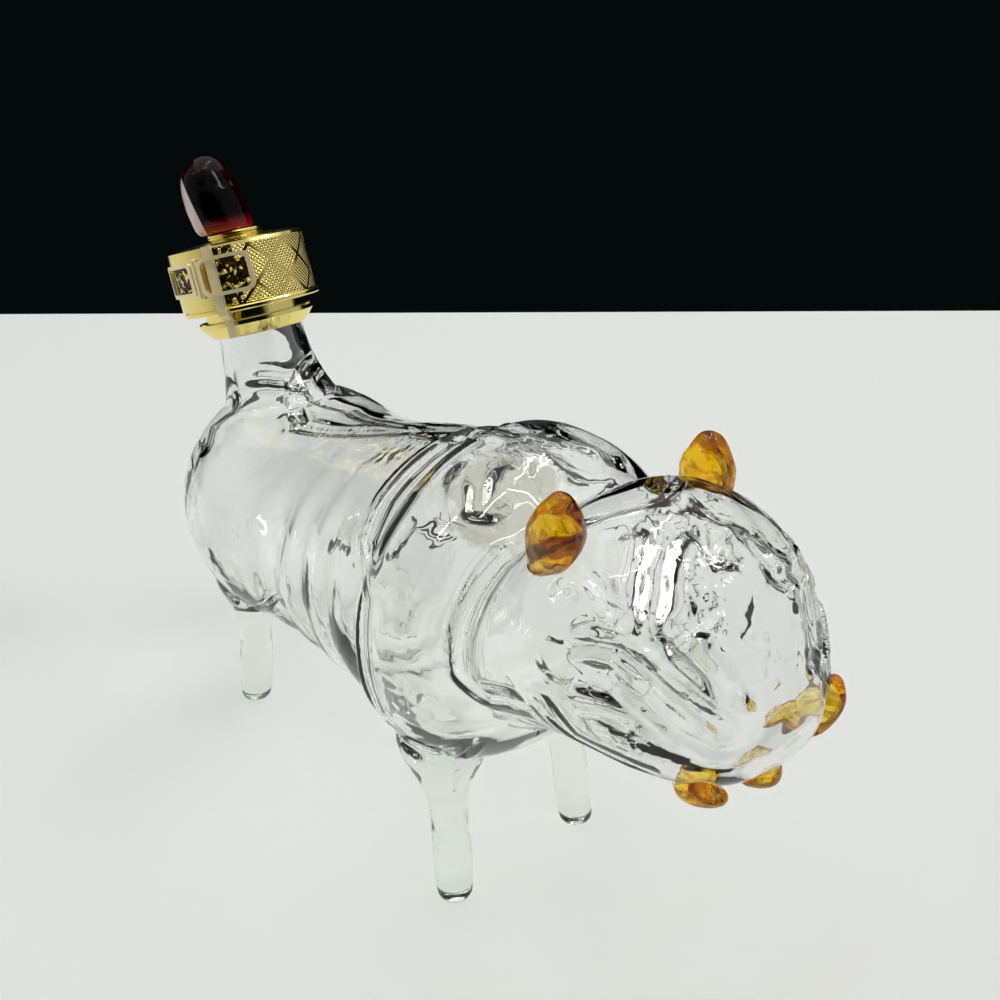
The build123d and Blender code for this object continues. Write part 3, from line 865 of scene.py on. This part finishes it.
# The finial's leaning side is drawn in a little towards its foot's middle
def tuck(thing):
    points = points_of(thing)
    side = np.array(Vector(LOBE_SIDE[:2] + (0,)).normalized())
    along = points @ side
    low = points[:, 2] < points[:, 2].min() + TUCK_BAND * MM
    middle = along[low].mean()
    beyond = np.clip(along - middle, 0, None)
    set_points(thing, points - side * (beyond * FINIAL_TUCK)[:, None])


# An ear bulges towards the head's middle a little over half way up, narrows to its foot, and is uneven
def shape_ear(thing):
    points = points_of(thing)
    low, high = points[:, 2].min(), points[:, 2].max()
    rise = (points[:, 2] - low) / (high - low)
    side = np.sign(points[:, 1].mean())
    middle = np.abs(points[:, 1]).mean()
    inward = np.clip((middle - side * points[:, 1]) / (EAR_INNER * MM), 0, 1)
    bulge = np.exp(-((rise - EAR_BULGE_RISE) / EAR_BULGE_SPAN) ** 2)
    points[:, 1] -= side * inward * bulge * EAR_BULGE * MM
    waist = EAR_FOOT + (1 - EAR_FOOT) * np.clip(rise / EAR_FOOT_RISE, 0, 1)
    centre = points[:, :2].mean(0)
    points[:, :2] = centre + (points[:, :2] - centre) * waist[:, None]
    push = waves(points, *EAR_WAVE)
    set_points(thing, points + normals_of(thing) * push[:, None])


def small_glass(name, body, slot, materials):
    thing = as_object(joined([name]), name + "_glass")
    remesh(thing, SMALL_VOXEL, SMALL_PASSES)
    if name == "finial":
        tuck(thing)
    if name.startswith("ear"):
        shape_ear(thing)
    finish_piece(thing, body, [name], slot, materials)


# Outlines of a screw thread, one after the other along its helix
def thread_rows(mesh, radius, outward, start):
    joint = cap_joint()
    up = Vector(joint["axis"])
    ahead = Vector((up.z, 0, -up.x))
    side = up.cross(ahead)
    foot = Vector(joint["pos_m"]) - up * (MOUTH_RISE - start) * MM
    rows = []
    count = int(THREAD_STEPS * THREAD_TURNS)
    for step in range(count + 1):
        turn = 2 * math.pi * step / THREAD_STEPS
        out = ahead * math.cos(turn) + side * math.sin(turn)
        swell = min(1.0, THREAD_RUN_IN * min(step, count - step) / THREAD_STEPS)
        middle = foot + up * THREAD_PITCH * step / THREAD_STEPS * MM
        lifts = [THREAD_HEIGHT * swell * (1 - (2 * share) ** 4) - THREAD_SINK for share in THREAD_PROFILE]
        outline = list(zip(THREAD_PROFILE, lifts))
        outline += [(THREAD_PROFILE[-1], -THREAD_ROOT), (THREAD_PROFILE[0], -THREAD_ROOT)]
        row = []
        for share, lift in outline:
            spot = middle + up * share * THREAD_WIDTH * MM + out * (radius + outward * lift) * MM
            row.append(mesh.verts.new(spot))
        rows.append(row)
    return rows


# A screw thread on the sleeve or in the liner: a low rounded ridge
def thread(name, body, slot, radius, outward, start, materials):
    mesh = bmesh.new()
    rows = thread_rows(mesh, radius, outward, start)
    for low, high in zip(rows, rows[1:]):
        for corner in range(len(low)):
            after = (corner + 1) % len(low)
            mesh.faces.new((low[corner], low[after], high[after], high[corner]))
    mesh.faces.new(rows[0])
    mesh.faces.new(rows[-1][::-1])
    bmesh.ops.recalc_face_normals(mesh, faces=mesh.faces)
    ridge = as_object(mesh, name)
    ridge.data.materials.append(materials[slot])
    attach(ridge, body)


# The pieces that keep the shape of the frame's nodes
def dress_nodes(materials):
    slots = {row["node"]: row["material_slot"] for row in frame["record"]["subparts"]}
    for name, thing in frame["nodes"].items():
        if not thing.hide_render:
            thing.data.materials.clear()
            thing.data.materials.append(materials[LOOKS.get(name, slots[name])])


# Stage

def make_table():
    ahead, side = level_axes()
    far = ahead * TABLE_BEHIND * MM
    near = ahead * (TABLE_BEHIND - TABLE_SIZE) * MM
    half = side * TABLE_SIZE * MM / 2
    mesh = bmesh.new()
    corners = [mesh.verts.new(p) for p in (near - half, near + half, far + half, far - half)]
    mesh.faces.new(corners)
    table = as_object(mesh, "table")
    table.data.materials.append(solid_material("table", *TABLE_LOOK))


# Lamps light the scene and show in glass and metal, but not straight to the camera
def area_light(name, place, target, wide, tall, power):
    data = bpy.data.lights.new(name, "AREA")
    data.shape = "RECTANGLE"
    data.size = wide * MM
    data.size_y = tall * MM
    data.energy = power
    lamp = bpy.data.objects.new(name, data)
    bpy.context.scene.collection.objects.link(lamp)
    lamp.visible_camera = False
    lamp.location = Vector(place) * MM
    lamp.rotation_mode = "QUATERNION"
    lamp.rotation_quaternion = (lamp.location - Vector(target) * MM).to_track_quat("Z", "Y")


def make_room():
    world = bpy.data.worlds.new("room")
    world.use_nodes = True
    nodes, links = world.node_tree.nodes, world.node_tree.links
    along = measured(nodes, links, "DOT_PRODUCT", level_axes()[0], "Generated")
    backdrop = ramp(nodes, links, along, BACKDROP_START - BACKDROP_FADE, BACKDROP_START)
    behind = ramp(nodes, links, along, DARK_SIDE_START, DARK_SIDE_START - DARK_SIDE_FADE)
    dark = maths(nodes, links, "MAXIMUM", backdrop, behind)
    shown = mixed_colour(nodes, links, dark, ROOM_COLOUR, BACKDROP_COLOUR)
    links.new(shown, nodes["Background"].inputs["Color"])
    bpy.context.scene.world = world


def make_lights():
    for name, place, wide, tall, power in LAMPS:
        area_light(name, place, LAMP_TARGET, wide, tall, power)


def make_camera():
    data = bpy.data.cameras.new("camera")
    data.lens = CAMERA_LENS
    data.sensor_width = SENSOR
    data.clip_start = CAMERA_NEAR * MM
    data.clip_end = CAMERA_FAR * MM
    camera = bpy.data.objects.new("camera", data)
    bpy.context.scene.collection.objects.link(camera)
    camera.location = Vector(CAMERA_PLACE) * MM
    camera.rotation_mode = "QUATERNION"
    camera.rotation_quaternion = Matrix(camera_axes()).transposed().to_quaternion()
    bpy.context.scene.camera = camera


def build():
    materials = make_materials()
    blown_glass(materials)
    for name in AMBER:
        small_glass(name, "bottle", "amber_glass", materials)
    small_glass("finial", "cap", "garnet_glass", materials)
    thread("collar_thread", "bottle", "gilt_metal", SLEEVE_RADIUS, 1, THREAD_START, materials)
    between_turns = THREAD_START + THREAD_PITCH / 2
    thread("liner_thread", "cap", "liner_plastic", LINER_RADIUS, -1, between_turns, materials)
    dress_nodes(materials)
    make_table()
    make_room()
    make_lights()
    make_camera()
    bpy.context.scene.view_settings.view_transform = "Standard"


build()
